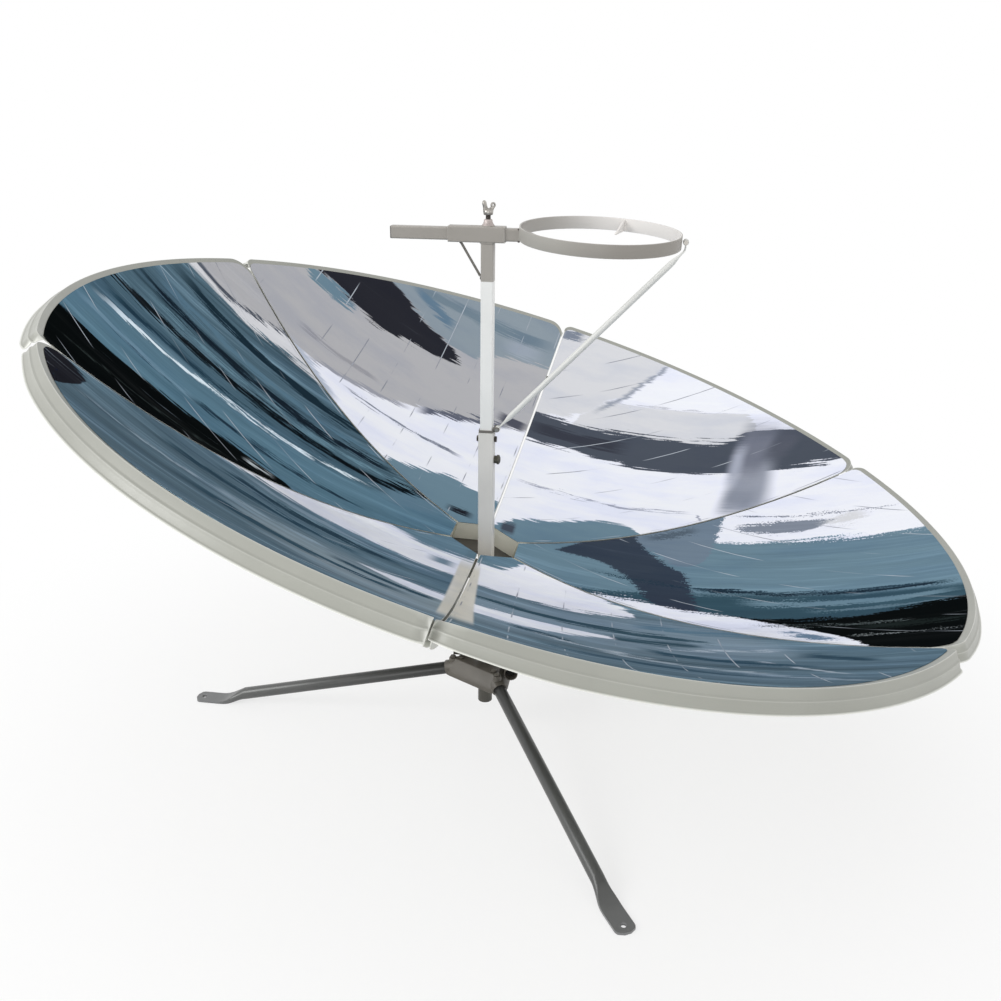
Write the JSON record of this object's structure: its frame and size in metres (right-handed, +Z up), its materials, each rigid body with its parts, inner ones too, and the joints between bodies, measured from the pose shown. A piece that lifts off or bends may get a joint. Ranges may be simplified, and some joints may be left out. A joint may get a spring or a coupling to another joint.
{
  "type": "solar cooker",
  "caption": "Parabolic solar cooker: mirror-lined petals that tilt on a centre frame, a telescopic column with a sliding arm and pot ring, a brace and a tripod base.",
  "frame": {"origin": "bottom centre of the bounding box: the ground plane under the middle of the tilted dish", "axes": "+Z up; +X towards the dish's lowered side, along the arm and pot ring; +Y across, along the tilt axle"},
  "size_m": [1.4348, 1.4944, 0.9258],
  "materials": {
    "arm_end_cap": "push-in end plug",
    "arm_sleeve": "pale grey paint",
    "arm_tube": "pale grey paint",
    "brace": "pale grey paint",
    "brace_collar": "pale grey paint",
    "brace_lower_pin": "plated fastener",
    "brace_upper_pin": "plated fastener",
    "centre_frame": "pale grey paint",
    "clamp_screw": "plated fastener",
    "cross_bolt": "plated fastener",
    "gusset_rod": "pale grey paint",
    "hub_bolt_1": "plated fastener",
    "hub_bolt_2": "plated fastener",
    "hub_bolt_3": "plated fastener",
    "hub_plate": "dark paint, dull",
    "hub_shell": "dark paint, dull",
    "hub_side_tube": "dark paint, dull",
    "hub_tube": "dark paint, dull",
    "leg_1": "dark grey paint, satin",
    "leg_2": "dark grey paint, satin",
    "leg_3": "dark grey paint, satin",
    "leg_bolt_1": "plated fastener",
    "leg_bolt_2": "plated fastener",
    "leg_bolt_3": "plated fastener",
    "lower_column": "pale grey paint",
    "mirror_film_1": "reflective foil sheets glued on",
    "mirror_film_2": "reflective foil sheets glued on",
    "mirror_film_3": "reflective foil sheets glued on",
    "mirror_film_4": "reflective foil sheets glued on",
    "mirror_film_5": "reflective foil sheets glued on",
    "mirror_film_6": "reflective foil sheets glued on",
    "petal_1": "bare grey galvanised sheet",
    "petal_2": "bare grey galvanised sheet",
    "petal_3": "bare grey galvanised sheet",
    "petal_4": "bare grey galvanised sheet",
    "petal_5": "bare grey galvanised sheet",
    "petal_6": "bare grey galvanised sheet",
    "petal_foot_bolt_1": "plated fastener",
    "petal_foot_bolt_2": "plated fastener",
    "petal_foot_bolt_3": "plated fastener",
    "petal_foot_bolt_4": "plated fastener",
    "petal_foot_bolt_5": "plated fastener",
    "petal_foot_bolt_6": "plated fastener",
    "pot_ring": "pale grey paint",
    "seam_bolt_1": "plated fastener",
    "seam_bolt_2": "plated fastener",
    "seam_bolt_3": "plated fastener",
    "seam_bolt_4": "plated fastener",
    "seam_bolt_5": "plated fastener",
    "seam_bolt_6": "plated fastener",
    "swivel_spigot": "bare tube",
    "swivel_washer": "dark paint, dull",
    "tilt_axle": "plated fastener",
    "tilt_wing_nut": "plated fastener",
    "upper_column": "pale grey paint",
    "weld_nut": "plated fastener",
    "wing_bolt": "plated fastener"
  },
  "bodies": {
    "stand": {"hub_bolt_1": "hub_bolt_1", "hub_bolt_2": "hub_bolt_2", "hub_bolt_3": "hub_bolt_3", "hub_plate": "hub_plate", "hub_shell": "hub_shell", "hub_side_tube": "hub_side_tube", "hub_tube": "hub_tube", "leg_1": "leg_1", "leg_2": "leg_2", "leg_3": "leg_3", "leg_bolt_1": "leg_bolt_1", "leg_bolt_2": "leg_bolt_2", "leg_bolt_3": "leg_bolt_3"},
    "column": {"cross_bolt": "cross_bolt", "lower_column": "lower_column", "swivel_spigot": "swivel_spigot", "swivel_washer": "swivel_washer"},
    "clamp": {"clamp_screw": "clamp_screw"},
    "dish": {"centre_frame": "centre_frame", "mirror_film_1": "mirror_film_1", "mirror_film_2": "mirror_film_2", "mirror_film_3": "mirror_film_3", "mirror_film_4": "mirror_film_4", "mirror_film_5": "mirror_film_5", "mirror_film_6": "mirror_film_6", "petal_1": "petal_1", "petal_2": "petal_2", "petal_3": "petal_3", "petal_4": "petal_4", "petal_5": "petal_5", "petal_6": "petal_6", "petal_foot_bolt_1": "petal_foot_bolt_1", "petal_foot_bolt_2": "petal_foot_bolt_2", "petal_foot_bolt_3": "petal_foot_bolt_3", "petal_foot_bolt_4": "petal_foot_bolt_4", "petal_foot_bolt_5": "petal_foot_bolt_5", "petal_foot_bolt_6": "petal_foot_bolt_6", "seam_bolt_1": "seam_bolt_1", "seam_bolt_2": "seam_bolt_2", "seam_bolt_3": "seam_bolt_3", "seam_bolt_4": "seam_bolt_4", "seam_bolt_5": "seam_bolt_5", "seam_bolt_6": "seam_bolt_6", "tilt_axle": "tilt_axle", "tilt_wing_nut": "tilt_wing_nut"},
    "upper": {"arm_sleeve": "arm_sleeve", "gusset_rod": "gusset_rod", "upper_column": "upper_column", "weld_nut": "weld_nut"},
    "wing": {"wing_bolt": "wing_bolt"},
    "arm": {"arm_end_cap": "arm_end_cap", "arm_tube": "arm_tube", "brace_upper_pin": "brace_upper_pin", "pot_ring": "pot_ring"},
    "brace": {"brace": "brace"},
    "collar": {"brace_collar": "brace_collar", "brace_lower_pin": "brace_lower_pin"}
  },
  "joints": [
    {"name": "swivel_turn", "type": "hinge", "parent": "stand", "child": "column", "pos_m": [-0.05852, 0, 0], "axis": [0, 0, 1], "continuous": true},
    {"name": "clamp_turn", "type": "hinge", "parent": "column", "child": "clamp", "pos_m": [-0.05852, 0, 0.5115], "axis": [1, 0, 0], "continuous": true},
    {"name": "dish_tilt", "type": "hinge", "parent": "column", "child": "dish", "pos_m": [-0.05852, 0, 0.3164], "axis": [0, 1, 0], "range_deg": [-16.3, 20]},
    {"name": "column_height", "type": "slide", "parent": "column", "child": "upper", "axis": [0, 0, 1], "range_m": [0, 0.12]},
    {"name": "wing_bolt_turn", "type": "hinge", "parent": "upper", "child": "wing", "pos_m": [-0.05852, 0, 0], "axis": [0, 0, 1], "continuous": true},
    {"name": "arm_reach", "type": "slide", "parent": "upper", "child": "arm", "axis": [1, 0, 0], "range_m": [0, 0.03]},
    {"name": "brace_swing", "type": "hinge", "parent": "arm", "child": "brace", "pos_m": [0.24088, 0, 0.87118], "axis": [0, 1, 0], "range_deg": [0, 6]},
    {"name": "collar_slide", "type": "slide", "parent": "upper", "child": "collar", "axis": [0, 0, 1], "range_m": [0, 0.031]}
  ],
  "couplings": [
    {"joint": "brace_swing", "follows": "arm_reach", "rad_per_m": 3.4},
    {"joint": "collar_slide", "follows": "arm_reach", "ratio": 1}
  ]
}
